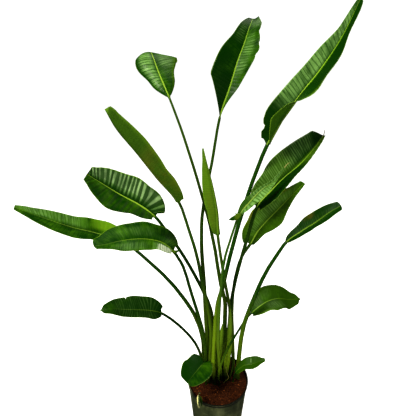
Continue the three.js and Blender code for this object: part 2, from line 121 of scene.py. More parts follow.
# A leaf's values, with left and right as seen from the blade's upper side, with the tip ahead.
# root: where the stalk leaves the soil. stalk, rib: points on to the blade's foot and to its tip.
# face: which way the upper side looks, at foot and tip. radius, base: the stalk's, at the foot and the soil.
# left, right: half widths at even steps from foot to tip. swell, swells: 0.5 opens roundly, 1 straight.
# fold: each half's tilt up, at even steps. curl: its change to the edge. wave: height of the edge's waves.
# rake, rakes: lean of the side veins at the foot. tip_lean: the most that they lean at the tip.
# notches: place, width and depth in each half, as shares. pleats: their count and height.
# tone: how light each half is. lines: the side veins' count and thinness. ribbed: how well the rib shows.
# stem, sheath: how light the stalk is, above and at its foot. colour: its look, mid where none is named.
# pale, brown, lime, dim: zones, each across from, across to, along from, along to and strength, where the
# edges are -1 and 1, the foot 0 and the tip 1.
# Pale zones are painted sheen and glints; dim zones are painted shade.
LEAVES = [dict(
    name="leaf_upper_left", root=[20, 38],
    stalk=[[24, 26, 320], [25, 17, 520], [23, 10, 645], [3, 12, 735], [-25, 40, 910], [-75, 80, 1100],
           [-130, 115, 1275], [-170, 140, 1380]],
    rib=[[-204, 185, 1448], [-232, 240, 1506], [-247, 305, 1508], [-257, 350, 1472]],
    face=[[0.2, -1, 0.5], [0, 0.5, 0.9]], radius=3.7, base=12, left=[4, 38, 68, 60, 46, 36, 4],
    right=[4, 46, 86, 106, 96, 56, 4], swell=1, fold=([10, 5, 10, 5, 0], [10, 5, 0, -5, -5]),
    curl=[-70, -35], pleats=(18, 0.3), tone=(-0.06, 0.02), lines=(36, 0.1), ribbed=0.75, stem=0.7,
    pale=[(-0.85, -0.03, 0.08, 0.62, 0.75), (0.1, 0.95, 0.2, 0.85, 0.5)], lime=[(0.75, 1.3, 0.05, 0.8, 0.4)],
), dict(
    name="leaf_upper_middle", colour="deep", root=[-32, 20],
    stalk=[[-38, 12, 345], [-50, 8, 560], [-56, 8, 720], [-65, 18, 890], [-60, 26, 1025], [-30, 35, 1185],
           [-5, 40, 1335]],
    rib=[[25, 50, 1425], [45, 60, 1490], [65, 80, 1540], [80, 105, 1581], [92, 134, 1604], [98, 152, 1607]],
    face=[[0, -1, 0.25], [-0.1, -0.5, 0.85]], radius=4.2, base=11.5, left=[2, 72, 62, 43, 30, 16, 4],
    right=[2, 28, 58, 50, 37, 20, 4], swell=1.2, fold=([25, 15, 10, -5], [20, 25, 20, -10]), curl=[0, 10],
    wave=(0, 4), rake=5, tip_lean=0.45,
    notches=([(0.84, 0.012, 0.6)], [(0.37, 0.02, 0.1), (0.465, 0.016, 0.08), (0.56, 0.02, 0.08)]),
    pleats=(34, 0.2), tone=(-0.08, 0.1), lines=(44, 0.3), ribbed=0.9, stem=0.7, sheath=0.3,
    pale=[(0, 0.75, 0.18, 0.62, 0.45), (0.5, 1.3, 0.6, 0.8, 0.3), (-0.9, -0.1, 0.45, 0.75, 0.15)],
    lime=[(0.3, 1.3, 0.86, 1.2, 0.4)],
), dict(
    name="leaf_upper_right", root=[-14, -14],
    stalk=[[-20, -26, 305], [-16, -34, 485], [-8, -38, 660], [12, -37, 755], [40, -26, 900],
           [90, -12, 1107], [140, -14, 1267]],
    rib=[[180, -30, 1350], [215, -40, 1410], [255, -60, 1475], [290, -85, 1550], [312, -115, 1632]],
    face=[[-0.6, -0.8, 0.3], [-0.5, -0.8, 0.4]], radius=6, base=10.8, left=[8, 56, 50, 44, 38, 22, 3],
    right=[6, 48, 68, 62, 44, 32, 3], fold=([10, 15, 15, 10], [30, 112, 60, 45, 40, 40, 40]), curl=[10, -10],
    wave=[2, 3], notches=([(0.1, 0.012, 0.25)], []), pleats=(28, 0.6), tone=(-0.22, -0.2), lines=(38, 0),
    ribbed=1, sheath=1, pale=[(-1.2, -0.03, 0.18, 1, 0.72)],
    lime=[(0.2, 1.3, 0, 0.42, 0.12), (0.8, 1.3, 0.05, 0.6, 0.4), (-0.06, 0.1, 0.4, 1, 1)],
    dim=[(0.15, 1.3, 0.4, 1, 0.3), (-1.3, -0.03, -0.05, 0.32, 0.4)],
), dict(
    name="leaf_left_folded", colour="young", root=[-34, -4],
    stalk=[[-32, -8, 365], [-30, -12, 530], [-48, -14, 670], [-62, -16, 745], [-80, -24, 870],
           [-105, -36, 980], [-135, -50, 1090]],
    rib=[[-195, -55, 1170], [-250, -60, 1250], [-300, -65, 1320], [-325, -70, 1375]],
    face=[[0.8, 0, 0.6]], radius=5, base=10.8, left=[8, 46, 54, 56, 52, 40, 4],
    right=[8, 38, 44, 45, 40, 31, 4], fold=[[65, 72, 74, 74]], tone=[-0.6], ribbed=0.2, sheath=0.35,
    pale=[(-1.4, 1.4, 0.93, 1.5, 1.4)], brown=[(-1.2, 0.4, 0.02, 0.5, 0.35)],
    lime=[(-1.4, 1.4, 0.92, 1.4, 1), (-1.5, -0.75, 0.05, 1.2, 0.45)],
    dim=[(-1.4, 1.4, -0.1, 0.98, 0.38), (-0.25, 0.25, 0, 1, 0.5)],
), dict(
    name="leaf_left_ribbed", root=[0, 46],
    stalk=[[-8, 38, 350], [-18, 28, 480], [-32, 26, 590], [-52, 28, 655], [-88, 26, 745], [-127, 20, 835],
           [-175, 5, 935], [-220, -20, 1025]],
    rib=[[-265, -30, 1070], [-320, -40, 1110], [-370, -55, 1155], [-402, -70, 1187]],
    face=[[0.1, -0.9, 0.45]], radius=5.2, left=[8, 34, 50, 60, 48, 32, 8],
    right=[12, 70, 80, 70, 58, 40, 14], fold=([10, 10, 10, 5], [20, 20, 15, 10]), rake=-45,
    notches=([], [(0.945, 0.009, 0.75)]), pleats=(14, 1.3), tone=(0.05, -0.16), lines=(20, 0.7), ribbed=1,
    sheath=0.2, pale=[(0.1, 1.15, 0.02, 1, 1.04)],
), dict(
    name="leaf_far_left", root=[-64, 30],
    stalk=[[-60, 14, 340], [-64, 4, 465], [-92, 4, 575], [-135, 12, 655], [-190, 20, 735], [-260, 20, 820],
           [-335, 10, 905]],
    rib=[[-430, -10, 955], [-490, -30, 985], [-575, -60, 1040], [-635, -85, 1085]],
    face=[[0.3, -0.2, 0.95], [0.3, -0.15, 0.95]], radius=5.6, base=11, left=[8, 36, 50, 52, 46, 30, 4],
    right=[14, 52, 50, 44, 38, 28, 4], fold=([5], [30, 25, 20, 10]), pleats=(22, 0.35), tone=(0.08, 0.17),
    lines=(40, 0.2), ribbed=0.5, sheath=0.1, pale=[(0.1, 1.2, 0.3, 1, 0.45)],
    lime=[(0.2, 1.3, -0.1, 0.3, 0.8)], dim=[(-0.3, 0.3, 0.15, 0.7, 0.4)],
), dict(
    name="leaf_left_drooping", root=[-52, 12],
    stalk=[[-50, 0, 300], [-52, -14, 400], [-62, -28, 525], [-80, -38, 625], [-105, -55, 750],
           [-125, -80, 865], [-155, -100, 940]],
    rib=[[-185, -110, 975], [-220, -125, 995], [-260, -145, 1008], [-300, -165, 1013], [-330, -190, 1018],
         [-360, -215, 1025]],
    face=[[0, -0.5, 0.9], [-0.1, -0.5, 0.9]], radius=4.8, left=[4, 32, 46, 48, 42, 26, 4],
    right=[10, 50, 60, 56, 52, 38, 4], fold=([10], [25, 20, 15, 10]), curl=[0, -15], tip_lean=0.6,
    tone=(0.1, 0.02), lines=(40, 0.1), ribbed=0.5, sheath=0.1,
    pale=[(-1.2, -0.1, -0.1, 0.3, 1.7), (0.1, 0.8, 0.2, 0.7, 0.2), (-1, -0.2, 0.3, 0.8, 0.25)],
    dim=[(0.3, 1.3, 0, 0.3, 0.6)],
), dict(
    name="leaf_young_upright", colour="young", root=[2, 26],
    stalk=[[14, 8, 320], [28, 0, 420], [38, 0, 500], [41, -4, 615], [20, -18, 750], [5, -20, 845],
           [-10, -30, 960]],
    rib=[[-15, -35, 1050], [-30, -40, 1140], [-45, -40, 1205], [-56, -40, 1257]],
    face=[[-1, 0, 0.1]], radius=5.6, base=9, left=[5, 28, 34, 30, 20, 11, 2],
    right=[5, 28, 36, 32, 22, 13, 2], fold=[[70, 70, 70, 60]], tone=(0.18, 0), lines=(44, 0.5), ribbed=0.8,
    stem=0.6, sheath=0.8, brown=[(0.1, 0.9, 0, 0.5, 0.2)], lime=[(-1.3, 1.3, 0, 1.1, 0.6)],
    dim=[(-0.3, 0.3, 0, 0.9, 0.5)],
), dict(
    name="leaf_young_narrow", colour="pale", root=[14, 6],
    stalk=[[7, -40, 350], [-2, -57, 480], [-2, -60, 625], [3, -58, 750], [12, -60, 870], [30, -70, 960],
           [55, -80, 1055]],
    rib=[[90, -85, 1110], [120, -85, 1145], [150, -80, 1165], [185, -70, 1210]],
    face=[[-0.3, -0.9, 0.4]], radius=3.6, base=8.5, left=[14, 18, 14, 10, 10, 8, 1],
    right=[4, 16, 26, 24, 14, 8, 1], fold=[[10, 25, 30, 30]], rake=-60, tone=(-0.02, 0.05), lines=(18, 0.25),
    sheath=0.4, pale=[(0.1, 1.3, 0, 0.85, 0.75), (-1.3, 0, 0.2, 1, 0.6)],
), dict(
    name="leaf_right_broad", colour="deep", root=[44, 22],
    stalk=[[45, 17, 285], [46, 14, 420], [47, 14, 615], [60, -8, 765], [90, -40, 955], [115, -52, 1075]],
    rib=[[155, -40, 1120], [195, -20, 1155], [250, 5, 1195], [295, 35, 1235], [330, 65, 1270]],
    face=[[-0.35, -0.8, 0.5]], radius=5.4, left=[12, 54, 70, 76, 70, 57, 6],
    right=[10, 54, 56, 42, 34, 26, 4], fold=([10, 10, 5, 5], [40, 50, 55, 50]), pleats=(20, 0.9),
    tone=(-0.36, -0.4), lines=(44, 0.3), ribbed=1, stem=0.35, sheath=0.25,
    pale=[(-1.1, -0.1, 0.1, 0.85, 0.35)],
    lime=[(-1.3, 0, 0, 0.6, 0.15), (-0.06, 0.14, 0.45, 1.1, 0.8), (0, 1.3, 0.55, 1.1, 0.25)],
    dim=[(-1.3, -0.1, 0.8, 1.3, 0.28), (0, 0.3, 0.1, 0.55, 0.3)],
), dict(
    name="leaf_right_pointed", root=[62, 36],
    stalk=[[67, 37, 265], [62, 37, 405], [53, 35, 600], [60, 14, 750], [78, -4, 855], [105, -15, 915]],
    rib=[[125, -20, 965], [150, -25, 1005], [180, -35, 1050], [215, -50, 1105], [250, -60, 1155]],
    face=[[-0.1, -0.95, 0.3]], radius=5.2, left=[10, 50, 64, 62, 54, 32, 3],
    right=[6, 22, 36, 42, 26, 14, 3], fold=([15], [15, 20, 20, 15]), pleats=(19, 0.7), tone=[0.05],
    lines=(38, 0.3), ribbed=0.8, stem=0.35, sheath=0.55, pale=[(-0.85, -0.03, 0.1, 0.9, 0.4)],
    brown=[(-1.3, -0.7, 0.15, 0.85, 0.7)], lime=[(-1.3, 1.3, 0, 1, 0.2)],
), dict(
    name="leaf_far_right", root=[86, 14],
    stalk=[[86, 2, 300], [86, -15, 405], [93, -38, 560], [121, -52, 700], [155, -58, 820], [190, -62, 902],
           [215, -66, 952]],
    rib=[[260, -70, 995], [295, -80, 1030], [330, -90, 1070], [360, -95, 1095]],
    face=[[-0.4, -0.5, 0.8]], radius=5.4, base=12, left=[4, 22, 34, 34, 30, 25, 5],
    right=[4, 20, 22, 22, 26, 25, 6], fold=[[20]], rake=0, tip_lean=0.5, tone=(-0.6, -0.55), lines=(30, 0.6),
    ribbed=0.5, sheath=0.5, pale=[(-0.6, 0.6, 0.1, 0.9, 0.1)], brown=[(-1.3, -0.5, 0.3, 0.55, 0.7)],
    lime=[(-0.15, 0.15, 0, 1, 0.3)], dim=[(-1.4, 1.4, -0.05, 1.15, 0.3)],
), dict(
    name="leaf_low_left", colour="deep", root=[-73, 8],
    stalk=[[-67, -6, 320], [-75, -16, 400], [-101, -30, 485], [-160, -60, 600], [-210, -85, 670]],
    rib=[[-250, -100, 695], [-290, -120, 715], [-330, -135, 730], [-360, -150, 745], [-395, -165, 752]],
    face=[[0, -0.3, 1]], radius=4.8, base=7, left=[6, 48, 45, 42, 39, 30, 3],
    right=[8, 50, 54, 46, 38, 26, 3], swells=[0.9, 0.5], fold=([20], [15, 15, 15, 10]), tip_lean=0.5,
    notches=([(1, 0.1, 0.85)], [(0.5, 0.008, 0.22), (1, 0.1, 0.85)]), tone=(-0.05, 0), lines=(30, 0.6),
    ribbed=0.35, pale=[(-1.2, 1.2, 0.05, 0.8, 0.12), (-1.2, 1.2, 0.85, 1.2, 0.4)],
), dict(
    name="leaf_low_right", colour="deep", root=[6, -22],
    stalk=[[2, -46, 310], [9, -56, 375], [36, -52, 465], [74, -31, 530], [105, -8, 570], [127, -6, 600]],
    rib=[[164, 2, 632], [188, 10, 643], [228, 20, 648], [272, 30, 635], [326, 42, 628]],
    face=[[0, -0.3, 1]], radius=3.8, base=6, left=[8, 36, 60, 60, 53, 34, 2],
    right=[5, 34, 50, 50, 48, 33, 2], fold=([20, 15, 10, 10], [15, 10, 5, 0]), curl=[0, -10], wave=[0, 3],
    tip_lean=0.6, notches=([(1, 0.09, 0.85)], [(1, 0.09, 0.85)]), tone=(-0.02, -0.06), ribbed=0.6,
    sheath=0.35, pale=[(-0.9, -0.1, 0.1, 0.5, 0.25), (0.1, 0.9, 0.2, 0.7, 0.3)],
    lime=[(0.75, 1.3, 0, 0.5, 0.6), (-1.3, 1.3, 0, 1.1, 0.12)],
), dict(
    name="leaf_rim_left", root=[-50, -18],
    stalk=[[-52, -30, 262], [-50, -32, 335], [-49, -40, 376], [-60, -54, 386]],
    rib=[[-84, -82, 380], [-104, -104, 370], [-122, -124, 359]],
    face=[[0.1, -0.85, 0.5], [0, -0.85, 0.5]], radius=3, base=6, left=[5, 54, 50, 44, 36, 24, 6],
    right=[5, 58, 66, 60, 48, 30, 6], swells=[0.5, 1.6], fold=[[15, 10, 5, 0]], curl=[0, -10],
    rakes=[-72, -45], notches=([], [(0.03, 0.05, 0.4)]), tone=(0.05, -0.15), ribbed=0.25,
    pale=[(-1.3, -0.9, 0.02, 0.7, 0.9)],
), dict(
    name="leaf_rim_right", root=[66, -7],
    stalk=[[68, -14, 250], [73, -28, 301]],
    rib=[[106, -34, 349], [138, -40, 365], [162, -44, 382], [186, -48, 397]],
    face=[[-0.4, -0.4, 0.8]], radius=2.5, base=5, left=[4, 20, 29, 29, 24, 14, 3],
    right=[4, 18, 20, 21, 18, 12, 3], fold=([20, 15, 10, 10], [15, 10, 10, 10]), rake=0, tone=[-0.28],
    ribbed=0.2, pale=[(-0.85, -0.1, 0.42, 0.47, 1.4), (-1.3, 1.3, 0.9, 1.2, 0.8)],
    lime=[(-1.3, 1.3, 0, 1.2, 0.12)],
), dict(
    name="leaf_withered", colour="dry", root=[-76, -60],
    stalk=[[-79, -76, 236], [-81, -94, 250]],
    rib=[[-84, -112, 264], [-84, -126, 262], [-82, -134, 250], [-78, -136, 232]],
    face=[[1, -0.4, 0]], radius=1.5, base=2, left=[3, 6, 8, 8, 6, 4, 1], right=[3, 8, 13, 14, 10, 5, 1],
    fold=[[50, 50, 50, 40]], rake=0,
)]

# Shoots and a thread, with radii at even steps from the buried end to the tip.
SPEARS = [dict(
    name="spear_middle", colour="shoot", root=[-4, 4],
    stalk=[[-1, -8, 330], [7, -22, 450], [11, -28, 530], [13, -30, 567]],
    radii=[8, 9.5, 10.5, 8, 0.8], sheath=1, stem=0.8,
), dict(
    name="spear_tall", colour="shoot", root=[32, 2],
    stalk=[[34, -6, 300], [43, -18, 428], [43, -25, 560], [43, -27, 610], [43, -28, 640]],
    radii=[10, 11.5, 12, 10, 5, 0.8], sheath=1, stem=0.8,
), dict(
    name="spear_short", colour="shoot", root=[50, 2], radii=[4.5, 4.5, 3, 0.8],
    stalk=[[60, 6, 281], [67, 8, 335], [70, 9, 372]],
), dict(
    name="thread_dry", colour="straw", root=[24, -14], radii=[1.3, 1.3, 1.2, 1.1, 0.8],
    stalk=[[36, -15, 240], [45, -16, 251], [38, -22, 290], [30, -28, 335]],
)]

# Small bits without a solid of their own: dry threads at two tips, lobes at two feet, and a withered fold.
SCRAPS = [dict(
    name="tip_thread_right", colour="straw", radii=[1.6, 1.3, 0.8], flat=1,
    points=[[327, 63, 1266], [331, 65, 1275], [332, 66, 1288]],
), dict(
    name="tip_thread_narrow", colour="straw", radii=[1.6, 1.2, 0.7], flat=1,
    points=[[183, -71, 1207], [190, -69, 1217], [198, -68, 1222]],
), dict(
    name="foot_lobe_narrow", radii=[3, 8, 8, 6, 1], flat=0.16,
    points=[[60, -87, 1064], [42, -90, 1052], [22, -92, 1046]],
), dict(
    name="withered_fold", radii=[2, 5, 6, 3, 1], flat=0.3,
    points=[[-80, -100, 254], [-72, -115, 262], [-69, -126, 250], [-67, -132, 236]],
), dict(
    name="foot_curl_drooping", radii=[3, 5, 4, 1], flat=0.4,
    points=[[-158, -106, 944], [-146, -104, 938], [-130, -102, 944]],
)]
SCRAP_SHEATH = 0.25


# Curves and rings
def between(values, share):
    """A value between even steps of a list, for shares from 0 to 1."""
    return np.interp(share, np.linspace(0, 1, len(values)), values)


def ease(share, low, high):
    """Smoothly from 0 at low to 1 at high."""
    t = np.clip((share - low) / (high - low), 0, 1)
    return t * t * (3 - 2 * t)


def smooth_reach(values, share, swell):
    """A blade's reach: smooth between its steps, and closing roundly in its last step."""
    v = np.array(values, float)
    last = len(v) - 2
    place = np.clip(share * (last + 1), 0, last + 1)
    i = np.clip(place.astype(int), 0, last)
    f = place - i
    pad = np.concatenate([[v[1]], v[1:-1], [v[-2]]])
    before = pad[np.clip(i - 1, 1, last)]
    after = pad[np.clip(i + 2, 1, last)]
    a, b = v[i], v[i + 1]
    cubic = 0.5 * (2 * a + (b - before) * f + (2 * before - 5 * a + 4 * b - after) * f**2
                   + (3 * a - before - 3 * b + after) * f**3)
    rounded = np.where(i == 0, a + (b - a) * f**swell, b + (a - b) * np.sqrt(np.clip(1 - f, 0, 1)))
    return np.where((i == 0) | (i == last), rounded, cubic)


class Route:
    """A smooth centripetal curve through points, from the stalk's buried end to the tip."""

    def __init__(self, points):
        self.points = np.array(points, float)
        self.spans = len(points) - 1

    def at(self, share):
        p = self.points
        place = np.clip(np.atleast_1d(share), 0, 1) * self.spans
        i = np.clip(place.astype(int), 0, self.spans - 1)
        w = (place - i)[:, None]
        ext = np.vstack([2 * p[0] - p[1], p, 2 * p[-1] - p[-2]])
        p0, p1, p2, p3 = (ext[i + k] for k in range(4))
        pairs = ((p0, p1), (p1, p2), (p2, p3))
        d0, d1, d2 = (np.sqrt(np.linalg.norm(b - a, axis=1))[:, None] for a, b in pairs)
        t1 = ((p1 - p0) / d0 - (p2 - p0) / (d0 + d1) + (p2 - p1) / d1) * d1
        t2 = ((p2 - p1) / d1 - (p3 - p1) / (d1 + d2) + (p3 - p2) / d2) * d1
        return p1 + t1 * w + (3 * (p2 - p1) - 2 * t1 - t2) * w**2 + (2 * (p1 - p2) + t1 + t2) * w**3

    def along(self, share):
        share = np.atleast_1d(share)
        d = self.at(np.clip(share + 1e-4, 0, 1)) - self.at(np.clip(share - 1e-4, 0, 1))
        return d / np.linalg.norm(d, axis=1)[:, None]


def route_of(part):
    root = list(part["root"])
    return Route([root + [BURIED_TO], root + [SOIL_TOP / MM]] + part["stalk"] + part.get("rib", []))


def axes(along, face):
    """Section axes: towards the upper side, and to the right seen from it."""
    up = face - along * np.sum(face * along, axis=1)[:, None]
    up /= np.linalg.norm(up, axis=1)[:, None]
    return up, np.cross(along, up)


def round_rings(centre, up, side, radius, points, groove):
    """Round sections, from the left over the upper side to the right and back, with a channel above."""
    angle = math.pi - math.tau * (np.arange(points) + 0.5) / points
    dent = 1 - groove * np.exp(-((angle - math.pi / 2) / GROOVE_WIDTH) ** 2)
    across = (radius[:, None] * np.cos(angle))[:, :, None]
    above = (radius[:, None] * np.sin(angle) * dent)[:, :, None]
    return centre[:, None] + side[:, None] * across + up[:, None] * above


def round_map(share, across):
    """Where each point of a stalk lies: across it, how far below its upper end, and its reach."""
    rows, points = len(share), len(across)
    return np.stack([np.tile(across, (rows, 1)), np.tile((share - 1)[:, None], (1, points)),
                     np.full((rows, points), STALK_REACH)], axis=2)


def side_values(points):
    """1 above and 0 below."""
    upper = np.zeros(points)
    upper[: points // 2] = 1
    return upper


# Meshes shaped ring by ring
def edit(on):
    bpy.ops.object.mode_set(mode="EDIT" if on else "OBJECT")


def normals_out():
    """Turns the normals outwards and leaves edit mode."""
    bpy.ops.mesh.select_all(action="SELECT")
    bpy.ops.mesh.normals_make_consistent(inside=False)
    edit(False)


def select_only(*pieces):
    bpy.ops.object.select_all(action="DESELECT")
    for piece in pieces:
        piece.select_set(True)
    bpy.context.view_layer.objects.active = pieces[0]


def opened(name):
    """The piece that was just added, under a name, with its edges open to edits."""
    piece = bpy.context.object
    piece.name = name
    piece.data.name = name
    edit(True)
    bpy.ops.mesh.select_mode(type="EDGE")
    return piece


def tube(name, points, rows):
    """A closed tube standing on the origin, ready to be shaped ring by ring."""
    bpy.ops.mesh.primitive_cylinder_add(vertices=points, radius=1, depth=1, end_fill_type="TRIFAN")
    piece = opened(name)
    bpy.ops.mesh.select_all(action="DESELECT")
    edit(False)
    for edge in piece.data.edges:
        a, b = (piece.data.vertices[k].co for k in edge.vertices)
        edge.select = abs(a.z - b.z) > TUBE_HALF and math.hypot(a.x, a.y) > TUBE_HALF
    edit(True)
    bpy.ops.mesh.subdivide(number_cuts=rows - 2)
    edit(False)
    return piece


def keep_at_points(mesh, name, values):
    """Keeps a value or vector for each point of a mesh."""
    values = np.asarray(values, np.float32).ravel()
    vector = len(values) > len(mesh.vertices)
    kept = mesh.attributes.new(name, "FLOAT_VECTOR" if vector else "FLOAT", "POINT")
    kept.data.foreach_set("vector" if vector else "value", values)


def shape(piece, rings, maps):
    """Moves a tube's rings into place, and keeps where each point lies on the leaf."""
    rows, points = rings.shape[:2]
    mesh = piece.data
    co = np.empty(len(mesh.vertices) * 3)
    mesh.vertices.foreach_get("co", co)
    co = co.reshape(-1, 3)
    row = np.rint((co[:, 2] + TUBE_HALF) * (rows - 1)).astype(int)
    turn = np.rint(np.arctan2(co[:, 0], co[:, 1]) * points / math.tau).astype(int) % points
    middle = np.hypot(co[:, 0], co[:, 1]) < TUBE_HALF
    placed = rings[row, turn]
    placed[middle] = rings[row[middle]].mean(axis=1)
    mesh.vertices.foreach_set("co", (placed * MM).ravel())
    keep_at_points(mesh, "leafmap", maps[row, turn])
    keep_at_points(mesh, "leafside", side_values(points)[turn])
    edit(True)
    normals_out()
    bpy.ops.object.shade_smooth()
    mesh.update()


# Leaves
def rake_angles(leaf, share):
    """How far the left and right side veins lean towards the tip, in radians."""
    angles = []
    for foot_rake in leaf.get("rakes", [leaf.get("rake", FOOT_RAKE)] * 2):
        opened = foot_rake + (MIDDLE_RAKE - foot_rake) * ease(share, FOOT_SETTLE, 0.25)
        leaning = ease(share, 0, FOOT_SETTLE) * opened
        angles.append(np.radians(leaning + (TIP_RAKE - MIDDLE_RAKE) * ease(share, 0.5, 1)))
    return angles


def half_reach(leaf, half, share):
    """How far one half of a blade reaches from its rib, with its notches cut in."""
    swell = leaf.get("swells", [leaf.get("swell", ROUND_FOOT)] * 2)[half]
    reach = smooth_reach(leaf["right" if half else "left"], share, swell)
    for place, width, depth in leaf.get("notches", ([], []))[half]:
        reach = reach * (1 - depth * np.exp(-(((share - place) / width) ** 2)))
    return reach


def flutter(share, seed):
    """An uneven ripple along an edge."""
    return np.array([noise.noise(Vector((s * RIPPLES, seed * 7.3, 0.5))) for s in share])


def blade_rings(leaf, route, foot, share):
    """Blade sections, each from left edge to right edge above, then back below."""
    at = foot + (1 - foot) * share
    centre, along = route.at(at), route.along(at)
    faces = np.array(leaf["face"], float)
    up, side = axes(along, faces[0] + (faces[-1] - faces[0]) * share[:, None])
    rakes = rake_angles(leaf, share)
    line = route.at(np.linspace(foot, 1, RIB_SAMPLES))
    to_tip = np.linalg.norm(np.diff(line, axis=0), axis=1).sum() * (1 - share)
    keel = 2 * leaf["radius"] - BLADE_THICKNESS
    keel = keel + (TIP_KEEL - keel) * np.sqrt(share)
    ridge = RIB_RIDGE * (1 - 0.7 * share) * ease(share, 0, 0.06)
    pleats, height = leaf.get("pleats", PLEATS)
    seed = sum(map(ord, leaf["name"]))
    above, below, maps = [], [], []
    for k in range(-HALF_POINTS, HALF_POINTS + 1):
        hand, half = (1 if k > 0 else -1), (0 if k < 0 else 1)
        reach = half_reach(leaf, half, share)
        most = np.arcsin(np.minimum(1, leaf.get("tip_lean", TIP_LEAN) * to_tip / reach))
        rake = np.minimum(rakes[half], most)
        rib = np.minimum(RIB_HALF_WIDTH * (1 - 0.5 * share), 0.4 * reach) / reach
        step = abs(k)
        if step < RIB_POINTS:
            out = (step / RIB_POINTS) * rib
        else:
            out = rib + (1 - rib) * (step - RIB_POINTS) / (HALF_POINTS - RIB_POINTS)
        fold = between(leaf["fold"][-1 if half else 0], share)
        curl = leaf.get("curl", (0, 0))[half]
        lean = np.radians(fold + 0.5 * curl * out)
        slope = np.radians(fold + curl * out) * (k != 0)
        wave = leaf.get("wave", (0, 0))[half] * np.sin(WAVES * math.tau * share)
        wave = wave + RIPPLE_HEIGHT * flutter(share, seed + hand) * np.sin(math.pi * share)
        body = np.clip((out - rib) / 0.25, 0, 1) * (1 - 0.5 * out)
        pleat = np.sin(math.tau * pleats * share + 0.9 * hand) * np.sin(math.pi * share) ** 0.3
        normal = np.cos(slope)[:, None] * up - hand * np.sin(slope)[:, None] * side
        flat = reach * out * np.cos(rake)
        middle = (centre + along * (reach * out * np.sin(rake))[:, None]
                  + side * (hand * flat * np.cos(lean))[:, None] + up * (flat * np.sin(lean))[:, None]
                  + normal * (wave * out**2 + height * body * pleat)[:, None])
        crown = math.cos(min(step / RIB_POINTS, 1) * math.pi / 2) ** 2
        thick = BLADE_THICKNESS / 2 * (1 - 0.35 * out)
        above.append(middle + normal * (thick + ridge * crown)[:, None])
        below.insert(0, middle - normal * (thick + keel * crown)[:, None])
        maps.append(np.stack([hand * out, share, reach / REACH_UNIT], axis=1))
    return np.stack(above + below, axis=1), np.stack(maps + maps[::-1], axis=1)


def leaf_piece(leaf):
    """Stalk and blade in one piece, with round sections that open into the blade."""
    route = route_of(leaf)
    spans = len(leaf["stalk"]) + 1
    share = np.linspace(0, 1, STALK_ROWS)
    at = share * (spans - FOOT_SPAN) / route.spans
    face = np.tile(np.array(leaf["face"][0], float), (STALK_ROWS, 1))
    up, side = axes(route.along(at), face)
    base = leaf.get("base", STALK_BASE_RADIUS)
    radius = leaf["radius"] + (base - leaf["radius"]) * (1 - share) ** STALK_TAPER
    stalk = round_rings(route.at(at), up, side, radius, SECTION_POINTS, STALK_GROOVE)
    across = np.linspace(-1, 1, SECTION_POINTS // 2)
    stalk_map = round_map(share, np.concatenate([across, across[::-1]]))
    even = np.linspace(0, 1, BLADE_ROWS)
    blade, blade_map = blade_rings(leaf, route, spans / route.spans, even + 0.5 * (ease(even, 0, 1) - even))
    piece = tube(leaf["name"] + "_grown", SECTION_POINTS, STALK_ROWS + BLADE_ROWS)
    shape(piece, np.concatenate([stalk, blade]), np.concatenate([stalk_map, blade_map]))
    return piece


# Shoots and scraps
def spear_piece(spear):
    """A rolled shoot or a thread, with the lap of its outer leaf winding up it."""
    route = route_of(spear)
    share = np.linspace(0, 1, SHOOT_ROWS)
    up, side = axes(route.along(share), np.tile(np.array([0, -1.0, 0]), (SHOOT_ROWS, 1)))
    rings = round_rings(route.at(share), up, side, between(spear["radii"], share), SHOOT_POINTS, 0)
    angle = np.arange(SHOOT_POINTS) / SHOOT_POINTS
    past = (angle[None] - LAP_START - LAP_TURNS * share[:, None]) % 1
    lap = 1 + LAP_HEIGHT * np.clip(1 - np.abs(past - LAP_WIDTH) / LAP_WIDTH, 0, 1)
    centre = route.at(share)[:, None]
    rings = centre + (rings - centre) * lap[:, :, None]
    half = SHOOT_POINTS // 2
    across = np.concatenate([np.linspace(-1, 1, half), np.linspace(1, -1, half)])
    piece = tube(spear["name"] + "_grown", SHOOT_POINTS, SHOOT_ROWS)
    shape(piece, rings, round_map(share, across))
    return piece


def scrap_piece(scrap):
    """A small bit along a curve, round or flattened towards the viewer."""
    route = Route(scrap["points"])
    share = np.linspace(0, 1, SCRAP_ROWS)
    up, side = axes(route.along(share), np.tile(np.array([0, -0.9, 0.4]), (SCRAP_ROWS, 1)))
    radius = between(scrap["radii"], share)
    angle = math.tau * np.arange(SCRAP_POINTS) / SCRAP_POINTS
    rings = route.at(share)[:, None] + side[:, None] * (radius[:, None] * np.cos(angle))[:, :, None]
    rings = rings + up[:, None] * (scrap["flat"] * radius[:, None] * np.sin(angle))[:, :, None]
    piece = tube(scrap["name"], SCRAP_POINTS, SCRAP_ROWS)
    shape(piece, rings, round_map(share, np.cos(angle)))
    return piece


# Pot and soil
def turned(name, profile, sides):
    """A round closed piece, raised ring by ring along a profile of radius and height."""
    radius, height = profile[0]
    bpy.ops.mesh.primitive_circle_add(vertices=sides, radius=radius, fill_type="NGON")
    piece = opened(name)
    bpy.ops.mesh.select_all(action="SELECT")
    bpy.ops.transform.translate(value=(0, 0, height))
    for (r0, z0), (r1, z1) in zip(profile, profile[1:]):
        bpy.ops.mesh.extrude_edges_move(TRANSFORM_OT_translate={"value": (0, 0, z1 - z0)})
        bpy.ops.transform.resize(value=(r1 / r0, r1 / r0, 1), center_override=(0, 0, z1))
    bpy.ops.mesh.edge_face_add()
    normals_out()
    return piece


def pot_radius(height):
    """The pot's outer radius at a height, under its rim band."""
    return POT_FOOT_RADIUS + (POT_RIM_RADIUS - POT_BAND_STEP - POT_FOOT_RADIUS) * height / POT_HEIGHT


def cut_with(piece, cutter):
    modifier = piece.modifiers.new("cut", "BOOLEAN")
    modifier.operation = "DIFFERENCE"
    modifier.object = cutter
    modifier.solver = "EXACT"
    select_only(piece)
    bpy.ops.object.modifier_apply(modifier="cut")
    bpy.data.objects.remove(cutter)


